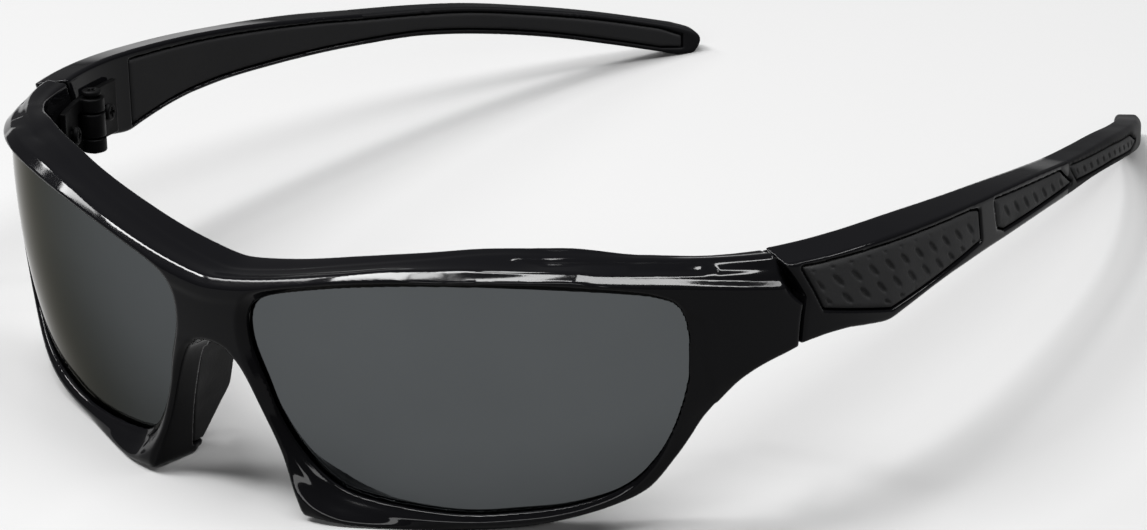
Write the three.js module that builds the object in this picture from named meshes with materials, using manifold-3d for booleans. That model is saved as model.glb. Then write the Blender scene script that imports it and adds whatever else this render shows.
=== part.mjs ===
// Wraparound sports glasses: a one-piece front, two curved lenses, and two folding temples.
//
// The front and the temples follow one curved band round the head. Every moulded piece is drawn
// flat in band coordinates and then bent onto the band:
//   s  distance along the band from the middle of the bridge, positive towards the wearer's left
//   z  height, with 0 near the top of the lenses
//   n  distance out of the lens surface, positive away from the head
// Only the left half is drawn. The right-hand pieces are its mirror image.
// Millimetres, +Z up, the front faces -Y, and the temples run to +Y.

import * as THREE from "three";
import { mergeVertices } from "three/addons/utils/BufferGeometryUtils.js";
import { TessellateModifier } from "three/addons/modifiers/TessellateModifier.js";
import Module from "manifold-3d";

const wasm = await Module();
wasm.setup();

// ---------------------------------------------------------------- driving dimensions

const TABLE_TILT = THREE.MathUtils.degToRad(4.46); // the tips drop by this when it rests on a table
const REST_HEIGHT = 32.6; // height of z = 0 over the table, at the bridge
const GAP = 0.3; // clearance between touching pieces

// Heading of the band, in degrees from +X towards +Y, at distances s along it.
const HEADING = [
  [0, 0],
  [14, 7.3],
  [28, 16.5],
  [42, 27.3],
  [62, 46.5],
  [82, 71],
  [96, 85],
  [120, 95],
  [145, 99.5],
  [170, 106],
  [190, 113],
  [216, 125],
];
const BAND_END = 216;
const BAND_STEP = 0.25;

const LENS_CURVE = 104; // vertical radius of the lens surface
const LENS_CREST = -1; // height at which the lens surface is furthest forward
const FLAT_FROM = 60; // the vertical curve fades out between these two distances
const FLAT_TO = 85;

const LENS_THICKNESS = 2;
const GROOVE_DEPTH = 0.8; // how far the groove goes in round the lens
const GROOVE_FRONT = 0.4;
const RIM_PROUD = 1.6; // rim face in front of the lens surface
const RIM_FLUSH = 0.97; // share of RIM_PROUD that is gone at the endpiece
const FLUSH_SPAN = [42, 76]; // and the distances along the band over which it goes
const RIM_BACK = -3.4; // rim back
const BROW_BACK = -7; // brow and endpiece back, before BROW_DEPTH scales it
const BROW_DEPTH = [
  [0, 1.08],
  [30, 0.7],
  [60, 0.36],
  [78, 0.56],
  [84, 0.56],
];

// The nasal side of each rim stands further out and runs further back than the rest. At each
// height: how much further out its outer edge is, and where its rear edge is.
const RIDGE_PROUD = [
  [-36, 3.7],
  [-31, 2.9],
  [-26, 1.5],
  [-20, 0.5],
  [-14, 0],
  [-10, 0],
];
const RIDGE_SPAN = [15, 38];
const RIDGE_WIDTH = 3.5; // from the lens to the full height of the ridge
const FLANK_BACK = -9.6; // rear edge while flat
const FLANK_DEPTH = [
  [-34, -4.4],
  [-31, -4.9],
  [-29, -6.5],
  [-26, -9],
  [-23, -11.2],
  [-18, -11.6],
  [-12, -10],
];
const FLANK_THICKNESS = 3.2;
const FLANK_HEIGHTS = [-34, -11];
const FLANK_LEVEL = [-9, -15]; // the flank's own depth takes over between these heights
const FLANK_SPAN = [18, 28];
const NOSE_SPLAY = 0.25; // sideways for each millimetre back
const SPLAY_FROM = -3;
const PAD_FRONT = -2.9; // front edge of the nose pads
const PAD_THICKNESS = 1.3;
const PAD_HEIGHTS = [-30.4, -13.7];
const POCKET_HEIGHTS = [PAD_HEIGHTS[0] - GAP, PAD_HEIGHTS[1] + GAP];

// Height of the front's upper and lower edges, as [s, z].
const FRONT_TOP = [
  [0, -2.3],
  [10, -0.3],
  [20, 1.9],
  [30, 3.7],
  [40, 5.2],
  [50, 5.7],
  [60, 5.4],
  [70, 4.4],
  [84, 3.7],
];
const FRONT_BOTTOM = [
  [13.6, -31.9],
  [20, -32.2],
  [30, -32.2],
  [42, -30.8],
  [50, -29],
  [56, -27.1],
  [60, -25.2],
  [64, -20.3],
  [68, -14.6],
  [72, -10.6],
  [76, -8.8],
  [81, -7.55],
];
const BROW_BOTTOM = -2.5; // underside of the deep brow, below the front's upper edge
const BROW_END = 62; // there the brow widens to the full height of the endpiece
const ENDPIECE_START = 69;
const ENDPIECE_INNER = [
  [67.2, -8],
  [66.8, -2],
];
const NASAL_EDGE = [
  [13.4, -31.4],
  [12.7, -29.6],
  [11.2, -26],
  [8.7, -20],
  [6.1, -14],
  [4.3, -11.4],
  [2, -10.1],
  [0, -9.9],
];
const LENS_OUTLINE = [
  [65, -8],
  [64.3, -1.2],
  [61, 1.4],
  [53, 2.6],
  [43, 3],
  [34, 2.6],
  [26, 1.7],
  [18, 0.2],
  [10, -2.1],
  [7, -4.6],
  [6.7, -9],
  [8.4, -14.5],
  [9.8, -19],
  [12.6, -24],
  [16.6, -27.8],
  [22, -29.3],
  [34, -29.7],
  [43, -28.6],
  [51, -27.1],
  [57.5, -24.4],
  [61.7, -19.6],
  [64, -13.8],
];

// The split between the front and a temple, from top to bottom.
const SEAM = [
  [77.5, 4],
  [80.7, -1.5],
  [80.3, -4.3],
  [80, -7.7],
];
const SEAM_GAP = 0.6;
const SEAM_MARGIN = [1.5, 2]; // the front's top and bottom curves stop this short of the seam

const TEMPLE_THICKNESS = 5.4;
const TEMPLE_TAPER = [
  [78, 1],
  [100, 1],
  [120, 0.88],
  [190, 0.72],
  [216, 0.68],
];
const TEMPLE_TOP = [
  [78, 3.9],
  [84, 3.75],
  [90, 3.6],
  [97, 3.3],
  [104, 2.85],
  [111, 2.3],
  [118.7, 1.55],
  [127.6, 0.55],
  [137.4, -0.75],
  [148, -2.35],
  [160, -4],
  [170, -5.55],
  [183, -8.3],
  [195, -11.1],
  [210, -15],
];
const TEMPLE_BOTTOM = [
  [81, -7.55],
  [85, -7.25],
  [88, -7.35],
  [92, -7.95],
  [96.2, -8.5],
  [99.4, -8],
  [103, -7.4],
  [107, -6.85],
  [112, -6.45],
  [120, -6.25],
  [128, -6.4],
  [138, -6.75],
  [149, -7.45],
  [158, -8.2],
  [165, -9.2],
  [174, -10.9],
  [186, -13.6],
  [197.5, -16.65],
  [208, -19.5],
];
const TIP = [
  [213.5, -16.4],
  [214.6, -18],
  [213.4, -20],
  [211, -20.2],
];
const TEMPLE_TOP_SPAN = [210, 82]; // where the curves take over from the tip and the seam
const TEMPLE_BOTTOM_SPAN = [84, 208];

const LINER_START = 97;
const LINER_END = 211;
const LINER_MARGIN = 1; // hard border above and below the liner
const LINER_DEPTH = 1.1;
const LINER_NOSE = [4, 0.6]; // length and height of the liner's tapered end

const INLAY_DEPTH = 1;
const INLAY_PROUD = 0.1;
const INLAY_OUTLINES = {
  front: [
    [80.7, 2.7],
    [92, 2.35],
    [104, 1.8],
    [115.3, 1.3],
    [117.9, 0.6],
    [118.5, -4.3],
    [96.6, -6.9],
    [84.2, -3.6],
    [82.6, -0.6],
  ],
  middle: [
    [122.5, 0],
    [145, -2.9],
    [147, -4.3],
    [149.4, -5.8],
    [125.6, -4.9],
    [123.6, -4],
  ],
  rear: [
    [149, -3.4],
    [168, -6.5],
    [183, -9.6],
    [189, -12.2],
    [184, -12],
    [170, -9],
    [152, -6.2],
  ],
};

// Hinge: the pin's place on the band, and the heights of its knuckles.
const PIN_S = 81.2;
const PIN_N = -7.7;
const KNUCKLE_RADIUS = 1.8;
const PIN_RADIUS = 0.7;
const FRAME_KNUCKLES = [
  [-7, -5],
  [-0.9, 1.1],
];
const TEMPLE_KNUCKLE = [-4.7, -1.2];
const LEAF_OUTER = -TEMPLE_THICKNESS - GAP; // leaf face against the moulding
const LEAF_THICKNESS = 0.9;
const FRAME_LEAF = [71, 78]; // from and to along the band
const TEMPLE_LEAF = [84.5, 91.5];
const LEAF_SCREW_HEIGHT = -3;
const LEAF_SCREW_HEAD = 1.3;
const LEAF_SCREW_LENGTH = 3.4;
const LEAF_HEAD_HEIGHT = 0.8;
const LEAF_HEAD_CROWN = 0.8; // the head's radius at its top, as a share of the full one
const PIN_HEAD_RADIUS = 1.4;
const PIN_HEAD_HEIGHT = 0.8;
const PIN_TAIL = 0.4; // how far the pin sticks out under the lower knuckle
const SCREW_HOLE_END = -2.8; // depth of the leaf screws' holes in the mouldings
const CUT_PAST = 10; // how far a cut runs past the material

// Before bending, a triangle's edges are kept shorter than this, measured along s; a stretch along
// z or n counts for less, because the band curves little that way.
const LONGEST_EDGE = 7;
const Z_COUNTS = 0.45;
const N_COUNTS = 0.3;
const CURVE_STEP = 6; // spacing of the points on a long edge
const BOTTOM_STEP = 3; // and on the front's lower edge
const LENS_POINTS = 40;
const NASAL_POINTS = 10;
const ROUND_SEGMENTS = 20;
const SCREW_SEGMENTS = 14;

// ---------------------------------------------------------------- curves

// A smooth curve through [x, y] stations that doesn't overshoot them.
function smooth(stations) {
  const slope = stations.map((p, i) => {
    if (i === 0 || i === stations.length - 1) {
      const [a, b] = i === 0 ? [stations[0], stations[1]] : stations.slice(-2);
      return (b[1] - a[1]) / (b[0] - a[0]);
    }
    const before = (p[1] - stations[i - 1][1]) / (p[0] - stations[i - 1][0]);
    const after = (stations[i + 1][1] - p[1]) / (stations[i + 1][0] - p[0]);
    return before * after <= 0 ? 0 : (2 * before * after) / (before + after);
  });
  return (x) => {
    let i = stations.findIndex((p) => p[0] > x) - 1;
    if (i === -2) i = stations.length - 2;
    if (i < 0) i = 0;
    const [x0, y0] = stations[i];
    const [x1, y1] = stations[i + 1];
    const h = x1 - x0;
    if (x < x0) return y0 + slope[i] * (x - x0);
    if (x > x1) return y1 + slope[i + 1] * (x - x1);
    const t = (x - x0) / h;
    const rise = (y1 - y0) * t * t * (3 - 2 * t);
    return y0 + rise + h * (slope[i] * t * (1 - t) ** 2 - slope[i + 1] * t * t * (1 - t));
  };
}

// 0 before a, 1 after b, and a soft step between.
function fade(x, a, b) {
  return THREE.MathUtils.smoothstep(x, a, b);
}

const heading = smooth(HEADING);
const bandPoints = [new THREE.Vector2(0, 0)];
for (let s = 0; s < BAND_END; s += BAND_STEP) {
  const angle = THREE.MathUtils.degToRad(heading(s + BAND_STEP / 2));
  const last = bandPoints[bandPoints.length - 1];
  bandPoints.push(
    new THREE.Vector2(last.x + BAND_STEP * Math.cos(angle), last.y + BAND_STEP * Math.sin(angle)),
  );
}

// The band point (s, z, n) in space.
function onBand(s, z, n) {
  const side = Math.sign(s) || 1;
  const along = Math.abs(s) / BAND_STEP;
  const i = Math.min(Math.floor(along), bandPoints.length - 2);
  const plan = bandPoints[i].clone().lerp(bandPoints[i + 1], along - i);
  const angle = THREE.MathUtils.degToRad(heading(Math.abs(s)));
  const curved = 1 - fade(Math.abs(s), FLAT_FROM, FLAT_TO);
  const out = n - (curved * (z - LENS_CREST) ** 2) / (2 * LENS_CURVE);
  return new THREE.Vector3(
    side * (plan.x + out * Math.sin(angle)),
    plan.y - out * Math.cos(angle),
    z,
  );
}

// ---------------------------------------------------------------- flat shapes and solids

function points(list) {
  return list.map(([s, z]) => new THREE.Vector2(s, z));
}

// The points of an open curve y(x) from one x to another.
function along(curve, from, to, step = CURVE_STEP) {
  const count = Math.max(1, Math.round(Math.abs(to - from) / step));
  return Array.from({ length: count + 1 }, (_, i) => {
    const x = from + ((to - from) * i) / count;
    return new THREE.Vector2(x, curve(x));
  });
}

// A closed outline moved outwards by a distance (inwards where it is negative).
function offset(outline, distance) {
  const turn = THREE.ShapeUtils.isClockWise(outline) ? -1 : 1;
  return outline.map((p, i) => {
    const before = outline[(i + outline.length - 1) % outline.length];
    const after = outline[(i + 1) % outline.length];
    const a = p.clone().sub(before).normalize();
    const b = after.clone().sub(p).normalize();
    const mid = new THREE.Vector2(a.y + b.y, -a.x - b.x).normalize();
    const mitre = Math.max(0.6, mid.dot(new THREE.Vector2(a.y, -a.x)));
    return p.clone().addScaledVector(mid, (turn * distance) / mitre);
  });
}

function toManifold(geometry) {
  const bare = geometry.index ? geometry.toNonIndexed() : geometry.clone();
  bare.deleteAttribute("normal");
  bare.deleteAttribute("uv");
  const merged = mergeVertices(bare, 1e-4);
  return new wasm.Manifold(
    new wasm.Mesh({
      numProp: 3,
      vertProperties: merged.getAttribute("position").array,
      triVerts: new Uint32Array(merged.index.array),
    }),
  );
}

function toGeometry(solid) {
  const mesh = solid.getMesh();
  const geometry = new THREE.BufferGeometry();
  geometry.setAttribute("position", new THREE.BufferAttribute(mesh.vertProperties, 3));
  geometry.setIndex(new THREE.BufferAttribute(mesh.triVerts, 1));
  return geometry;
}

// A flat plate with this outline, from n = back to n = front.
function plate(outline, back, front) {
  const shape = new THREE.Shape(outline);
  const depth = front - back;
  const geometry = new THREE.ExtrudeGeometry(shape, { depth, bevelEnabled: false });
  return toManifold(geometry.translate(0, 0, back));
}

function flatBox(s0, s1, z0, z1, back, front) {
  const corners = points([
    [s0, z0],
    [s1, z0],
    [s1, z1],
    [s0, z1],
  ]);
  return plate(corners, back, front);
}

// Bends a flat solid onto the band. The shaper changes s and n on the way, where a piece needs it.
function bend(solid, shaper = (s, z, n) => [s, n]) {
  const refine = new TessellateModifier(LONGEST_EDGE, 8);
  const scaled = toGeometry(solid).toNonIndexed().scale(1, Z_COUNTS, N_COUNTS);
  const geometry = refine.modify(scaled).scale(1, 1 / Z_COUNTS, 1 / N_COUNTS);
  const position = geometry.getAttribute("position");
  for (let i = 0; i < position.count; i += 1) {
    const z = position.getY(i);
    const [s, n] = shaper(position.getX(i), z, position.getZ(i));
    position.setXYZ(i, ...onBand(s, z, n));
  }
  return toManifold(geometry);
}

// A round solid about the n axis at (s, z), from a profile of [radius, n] that starts and ends on it.
function turned(s, z, profile) {
  const geometry = new THREE.LatheGeometry(points(profile), SCREW_SEGMENTS);
  geometry.rotateX(Math.PI / 2);
  return toManifold(geometry.translate(s, z, 0));
}

// A round hole for a leaf screw, from behind the piece to the hole's end.
function screwHole(s, end = SCREW_HOLE_END) {
  const behind = FLANK_BACK - CUT_PAST;
  const profile = [
    [0, behind],
    [PIN_RADIUS + GAP, behind],
    [PIN_RADIUS + GAP, end],
    [0, end],
  ];
  return turned(s, LEAF_SCREW_HEIGHT, profile);
}

function mirrored(outline) {
  return outline.map((p) => new THREE.Vector2(-p.x, p.y)).reverse();
}

// ---------------------------------------------------------------- front

const frontTop = smooth(FRONT_TOP);
const frontBottom = smooth(FRONT_BOTTOM);
const templeTop = smooth(TEMPLE_TOP);
const templeBottom = smooth(TEMPLE_BOTTOM);
const templeTaper = smooth(TEMPLE_TAPER);
const browDepth = smooth(BROW_DEPTH);
const ridgeProud = smooth(RIDGE_PROUD);
const flankDepth = smooth(FLANK_DEPTH);
const lensOutline = new THREE.SplineCurve(points([...LENS_OUTLINE, LENS_OUTLINE[0]]))
  .getPoints(LENS_POINTS)
  .slice(0, -1);
const nasalEdge = new THREE.SplineCurve(points(NASAL_EDGE)).getPoints(NASAL_POINTS);

// How far the band point (s, z) is from the lens outline.
function fromLens(s, z) {
  const here = new THREE.Vector3(s, z, 0);
  const corners = lensOutline.map((p) => new THREE.Vector3(p.x, p.y, 0));
  const distances = corners.map((p, i) => {
    const edge = new THREE.Line3(p, corners[(i + 1) % corners.length]);
    return edge.closestPointToPoint(here, true, new THREE.Vector3()).distanceTo(here);
  });
  return Math.min(...distances);
}

// Gives the front its depth: the face in front of n = 0, the rear edges behind the rim's back.
function shapeFront(s, z, n) {
  const away = Math.abs(s);
  if (n > 0) {
    const rise = Math.min(1, fromLens(away, z) / RIDGE_WIDTH) * (1 - fade(away, ...RIDGE_SPAN));
    const proud = RIM_PROUD * (1 - RIM_FLUSH * fade(away, ...FLUSH_SPAN)) + rise * ridgeProud(z);
    return [s, (n / RIM_PROUD) * proud];
  }
  if (n >= RIM_BACK) return [s, n];
  const low = (1 - fade(z, FLANK_LEVEL[1], FLANK_LEVEL[0])) * (1 - fade(away, ...FLANK_SPAN));
  const flankScale = (flankDepth(z) - RIM_BACK) / (FLANK_BACK - RIM_BACK);
  const depth = RIM_BACK + (n - RIM_BACK) * THREE.MathUtils.lerp(browDepth(away), flankScale, low);
  return [s + Math.sign(s) * NOSE_SPLAY * low * (SPLAY_FROM - depth), depth];
}

// The front's half outline: along the top, down the seam, back along the bottom, and up the nose.
function halfFront() {
  return [
    ...along(frontTop, 0, SEAM[0][0] - SEAM_MARGIN[0]),
    ...points(SEAM),
    ...along(frontBottom, SEAM[3][0] - SEAM_MARGIN[1], FRONT_BOTTOM[0][0], BOTTOM_STEP),
    ...nasalEdge,
  ];
}

// The deep brow runs along the top, and widens to the full height of the endpiece.
function halfBrow() {
  const underside = (s) => frontTop(s) + BROW_BOTTOM;
  return [
    ...along(frontTop, 0, SEAM[0][0] - SEAM_MARGIN[0]),
    ...points(SEAM),
    ...along(frontBottom, SEAM[3][0] - SEAM_MARGIN[1], ENDPIECE_START, BOTTOM_STEP),
    ...points(ENDPIECE_INNER),
    ...along(underside, BROW_END, 0),
  ];
}

function bothSides(half) {
  const inner = half.filter((p) => p.x > 1e-6);
  const middle = half.filter((p) => p.x <= 1e-6);
  return [middle[0], ...inner, middle[middle.length - 1], ...mirrored(inner)];
}

// The nasal flank's outline, between two distances outside the nasal edge and two heights.
function flank(from, to, [low, high]) {
  const part = nasalEdge.filter((p) => p.y > low && p.y < high);
  const near = part.map((p) => new THREE.Vector2(p.x + from, p.y));
  const far = part.map((p) => new THREE.Vector2(p.x + to, p.y)).reverse();
  return [...near, ...far];
}

function frontFrame() {
  let solid = plate(bothSides(halfFront()), RIM_BACK, RIM_PROUD);
  solid = solid.add(plate(bothSides(halfBrow()), BROW_BACK, RIM_PROUD));
  const through = FLANK_BACK - CUT_PAST;
  const nose = flank(0, FLANK_THICKNESS, FLANK_HEIGHTS);
  const pocket = flank(-1, PAD_THICKNESS + GAP, POCKET_HEIGHTS);
  const groove = offset(lensOutline, GROOVE_DEPTH);
  for (const side of [(p) => p, mirrored]) {
    solid = solid.add(plate(side(nose), FLANK_BACK, RIM_PROUD));
    solid = solid.subtract(plate(side(pocket), through, PAD_FRONT + GAP));
    solid = solid.subtract(plate(side(lensOutline), through, CUT_PAST));
    solid = solid.subtract(plate(side(groove), -LENS_THICKNESS - GAP, GROOVE_FRONT));
  }
  for (const side of [1, -1]) {
    solid = solid.subtract(screwHole(side * leafScrewAt(FRAME_LEAF)));
  }
  return restOnTable(bend(solid, shapeFront));
}

function lens() {
  const outline = offset(lensOutline, GROOVE_DEPTH - GAP);
  return bend(plate(outline, -LENS_THICKNESS, 0));
}

function nosePad() {
  return bend(plate(flank(0, PAD_THICKNESS, PAD_HEIGHTS), FLANK_BACK, PAD_FRONT), shapeFront);
}

// ---------------------------------------------------------------- temples

// A temple grows thinner towards its tip.
function shapeTemple(s, z, n) {
  return [s, n * templeTaper(s)];
}

function templeOutline() {
  const seam = points(SEAM).map((p) => new THREE.Vector2(p.x + SEAM_GAP, p.y));
  seam[0].y = templeTop(seam[0].x);
  seam[3].y = templeBottom(seam[3].x);
  return [
    ...seam,
    ...along(templeBottom, ...TEMPLE_BOTTOM_SPAN),
    ...points(TIP).reverse(),
    ...along(templeTop, ...TEMPLE_TOP_SPAN),
  ];
}

// The liner's outline, or its pocket's with a margin round it.
function linerOutline(margin) {
  const border = LINER_MARGIN - margin;
  const start = LINER_START - margin;
  const end = LINER_END + margin;
  const [length, height] = LINER_NOSE;
  return [
    ...along((s) => templeBottom(s) + border, start, end - length),
    new THREE.Vector2(end, templeBottom(LINER_END) + border + height),
    new THREE.Vector2(end, templeTop(LINER_END) - border - height),
    ...along((s) => templeTop(s) - border, end - length, start),
  ];
}

function templeShell() {
  let solid = plate(templeOutline(), -TEMPLE_THICKNESS, 0);
  const linerPocket = linerOutline(GAP);
  const floor = LINER_DEPTH - TEMPLE_THICKNESS + GAP;
  solid = solid.subtract(plate(linerPocket, -TEMPLE_THICKNESS - CUT_PAST, floor));
  for (const outline of Object.values(INLAY_OUTLINES)) {
    const pocket = offset(points(outline), GAP);
    solid = solid.subtract(plate(pocket, -INLAY_DEPTH - GAP, CUT_PAST));
  }
  solid = solid.subtract(screwHole(leafScrewAt(TEMPLE_LEAF)));
  return restOnTable(bend(solid, shapeTemple));
}

function templeLiner() {
  const solid = plate(linerOutline(0), -TEMPLE_THICKNESS, LINER_DEPTH - TEMPLE_THICKNESS);
  return bend(solid, shapeTemple);
}

function inlay(name) {
  const solid = plate(points(INLAY_OUTLINES[name]), -INLAY_DEPTH, INLAY_PROUD);
  return bend(solid, shapeTemple);
}

// ---------------------------------------------------------------- hinges

const pin = onBand(PIN_S, 0, PIN_N);

function leafScrewAt([from, to]) {
  return (from + to) / 2;
}

// An upright cylinder about the hinge pin.
function round(radius, low, high) {
  const geometry = new THREE.CylinderGeometry(radius, radius, high - low, ROUND_SEGMENTS);
  geometry.rotateX(Math.PI / 2);
  return toManifold(geometry.translate(pin.x, pin.y, (low + high) / 2));
}

// A bent leaf with one or more knuckles on the pin's line.
function hingeLeaf(leaf, knuckles) {
  const inner = LEAF_OUTER - LEAF_THICKNESS;
  const low = FRAME_KNUCKLES[0][0];
  const high = FRAME_KNUCKLES[1][1];
  let flat = flatBox(...leaf, low, high, inner, LEAF_OUTER);
  const reach = leaf[0] < PIN_S ? [leaf[1] - 1, PIN_S] : [PIN_S, leaf[0] + 1];
  for (const [from, to] of knuckles) {
    flat = flat.add(flatBox(...reach, from, to, inner, LEAF_OUTER));
  }
  flat = flat.subtract(screwHole(leafScrewAt(leaf), 0));
  let solid = bend(flat);
  for (const [from, to] of knuckles) {
    solid = solid.add(round(KNUCKLE_RADIUS, from, to));
  }
  return solid.subtract(round(PIN_RADIUS + GAP, low - CUT_PAST, high + CUT_PAST));
}

function hingeScrew() {
  const low = FRAME_KNUCKLES[0][0] - PIN_TAIL;
  const high = FRAME_KNUCKLES[1][1] + GAP;
  const shank = round(PIN_RADIUS, low, high);
  return shank.add(round(PIN_HEAD_RADIUS, high, high + PIN_HEAD_HEIGHT));
}

function leafScrew(leaf) {
  const face = LEAF_OUTER - LEAF_THICKNESS - GAP;
  const top = face - LEAF_HEAD_HEIGHT;
  const profile = [
    [0, top],
    [LEAF_SCREW_HEAD * LEAF_HEAD_CROWN, top],
    [LEAF_SCREW_HEAD, (face + top) / 2],
    [LEAF_SCREW_HEAD, face],
    [PIN_RADIUS, face],
    [PIN_RADIUS, face + LEAF_SCREW_LENGTH],
    [0, face + LEAF_SCREW_LENGTH],
  ];
  return bend(turned(leafScrewAt(leaf), LEAF_SCREW_HEIGHT, profile));
}

// ---------------------------------------------------------------- resting flats

// Cuts a piece flat where it meets the table.
function restOnTable(solid) {
  const slab = new THREE.BoxGeometry(2 * BAND_END, 3 * BAND_END, REST_HEIGHT);
  slab.translate(0, 0, -1.5 * REST_HEIGHT);
  slab.rotateX(TABLE_TILT);
  return solid.subtract(toManifold(slab));
}

// ---------------------------------------------------------------- assembly

const MATERIALS = {
  frame: new THREE.MeshStandardMaterial({ color: 0x0b0b0c, roughness: 0.18, metalness: 0 }),
  lens: new THREE.MeshStandardMaterial({ color: 0x5a6162, roughness: 0.05, metalness: 0.4 }),
  soft: new THREE.MeshStandardMaterial({ color: 0x262628, roughness: 0.75, metalness: 0 }),
  inlay: new THREE.MeshStandardMaterial({ color: 0x333436, roughness: 0.85, metalness: 0 }),
  steel: new THREE.MeshStandardMaterial({ color: 0x77797c, roughness: 0.3, metalness: 1 }),
};

function node(name, solid, material) {
  const mesh = new THREE.Mesh(toGeometry(solid), MATERIALS[material].clone());
  mesh.name = name;
  return mesh;
}

const SIDE_PIECES = [
  ["lens", lens(), "lens"],
  ["nose_pad", nosePad(), "soft"],
  ["frame_hinge", hingeLeaf(FRAME_LEAF, FRAME_KNUCKLES), "steel"],
  ["temple_hinge", hingeLeaf(TEMPLE_LEAF, [TEMPLE_KNUCKLE]), "steel"],
  ["hinge_screw", hingeScrew(), "steel"],
  ["frame_leaf_screw", leafScrew(FRAME_LEAF), "steel"],
  ["temple_leaf_screw", leafScrew(TEMPLE_LEAF), "steel"],
  ["temple", templeShell(), "frame"],
  ["temple_liner", templeLiner(), "soft"],
  ["inlay_front", inlay("front"), "inlay"],
  ["inlay_middle", inlay("middle"), "inlay"],
  ["inlay_rear", inlay("rear"), "inlay"],
];

const glasses = new THREE.Group();
glasses.position.z = REST_HEIGHT;
glasses.rotation.x = -TABLE_TILT;
glasses.add(node("front_frame", frontFrame(), "frame"));
for (const [side, direction] of [["left", 1], ["right", -1]]) {
  const half = new THREE.Group();
  half.scale.x = direction;
  for (const [name, solid, material] of SIDE_PIECES) {
    half.add(node(`${name}_${side}`, solid, material));
  }
  glasses.add(half);
}

// The origin is under the middle of the whole object, on the table.
const box = new THREE.Box3().setFromObject(glasses, true);
glasses.position.y = -(box.min.y + box.max.y) / 2;

export default glasses;
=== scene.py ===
"""Wraparound sports glasses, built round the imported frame.

Every moulded piece is a solid in band coordinates (s along the band, z up, n outwards), given as a
signed distance field. The field is meshed with quads and then bent onto the band that the CAD
follows. Millimetres until the last step, which tilts the glasses onto the table and scales to metres.
"""

import bpy
import numpy as np
from mathutils import Matrix


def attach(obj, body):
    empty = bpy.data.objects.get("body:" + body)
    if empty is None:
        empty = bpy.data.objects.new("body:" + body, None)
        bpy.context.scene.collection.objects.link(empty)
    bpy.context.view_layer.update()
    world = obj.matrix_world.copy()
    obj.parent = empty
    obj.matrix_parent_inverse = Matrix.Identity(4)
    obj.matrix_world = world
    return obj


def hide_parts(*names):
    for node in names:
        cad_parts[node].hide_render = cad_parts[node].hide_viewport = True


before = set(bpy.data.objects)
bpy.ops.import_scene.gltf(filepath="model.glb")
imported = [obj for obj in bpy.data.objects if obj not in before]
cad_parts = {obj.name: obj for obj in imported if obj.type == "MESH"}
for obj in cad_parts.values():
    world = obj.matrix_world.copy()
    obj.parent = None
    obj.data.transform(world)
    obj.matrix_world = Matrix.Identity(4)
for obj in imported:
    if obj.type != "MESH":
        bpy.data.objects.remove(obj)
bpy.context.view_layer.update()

# ---------------------------------------------------------------- the band, as in the CAD

TABLE_TILT = np.radians(4.46)
ORIGIN_Y = -80.543049
REST_HEIGHT = 32.6
GAP = 0.3

HEADING = [(0, 0), (14, 7.3), (28, 16.5), (42, 27.3), (62, 46.5), (82, 71), (96, 85), (120, 95),
           (145, 99.5), (170, 106), (190, 113), (216, 125)]
BAND_END = 216
BAND_STEP = 0.25
LENS_CURVE = 104
LENS_CREST = -1
FLAT_FROM, FLAT_TO = 60, 85

LENS_THICKNESS = 2
GROOVE_DEPTH = 0.8
GROOVE_FRONT = 0.06
RIM_PROUD = 1.6
RIM_BACK = -3.4
BROW_BACK = -7
NOSE_BACK = [(-34, -4.4), (-31, -4.9), (-29, -6.5), (-26, -9), (-23, -11.2), (-18, -11.6), (-12, -10)]
PAD_FRONT = -2.9
PAD_THICKNESS = 1.3

FRONT_TOP = [(0, -2.3), (10, -0.3), (20, 1.9), (30, 3.7), (40, 5.2), (50, 5.7), (60, 5.4), (70, 4.4),
             (84, 3.7)]
FRONT_BOTTOM = [(13.6, -31.9), (20, -32.2), (30, -32.2), (42, -30.8), (50, -29), (56, -27.1), (60, -25.2),
                (64, -20.3), (68, -14.6), (72, -10.6), (76, -8.8), (81, -7.55)]
BROW_BOTTOM = -2.5
BROW_DEPTH = [(0, 1.08), (30, 0.7), (60, 0.36), (78, 0.56), (84, 0.56)]
NASAL_EDGE = [(13.4, -31.4), (12.7, -29.6), (11.2, -26), (8.7, -20), (6.1, -14), (4.3, -11.4), (2, -10.1),
              (0, -9.9)]
NOSE_PROUD = [(-36, 3.7), (-31, 2.9), (-26, 1.5), (-20, 0.5), (-14, 0), (-10, 0)]
RIDGE_WIDTH = (0.3, 3.2)
RIDGE_SPAN = (15, 38)
RIM_FLUSH = 0.97
FLUSH_SPAN = (42, 76)
NOSE_SPLAY = 0.25
SPLAY_FROM = -3
SPLAY_HEIGHTS = (9, 15)
SPLAY_SPAN = (18, 28)
LENS_OUTLINE = [(65, -8), (64.3, -1.2), (61, 1.4), (53, 2.6), (43, 3), (34, 2.6), (26, 1.7), (18, 0.2),
                (10, -2.1), (7, -4.6), (6.7, -9), (8.4, -14.5), (9.8, -19), (12.6, -24), (16.6, -27.8),
                (22, -29.3), (34, -29.7), (43, -28.6), (51, -27.1), (57.5, -24.4), (61.7, -19.6), (64, -13.8)]
SEAM = [(77.5, 4), (80.7, -1.5), (80.3, -4.3), (80, -7.7)]
SEAM_GAP = 0.6

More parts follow.
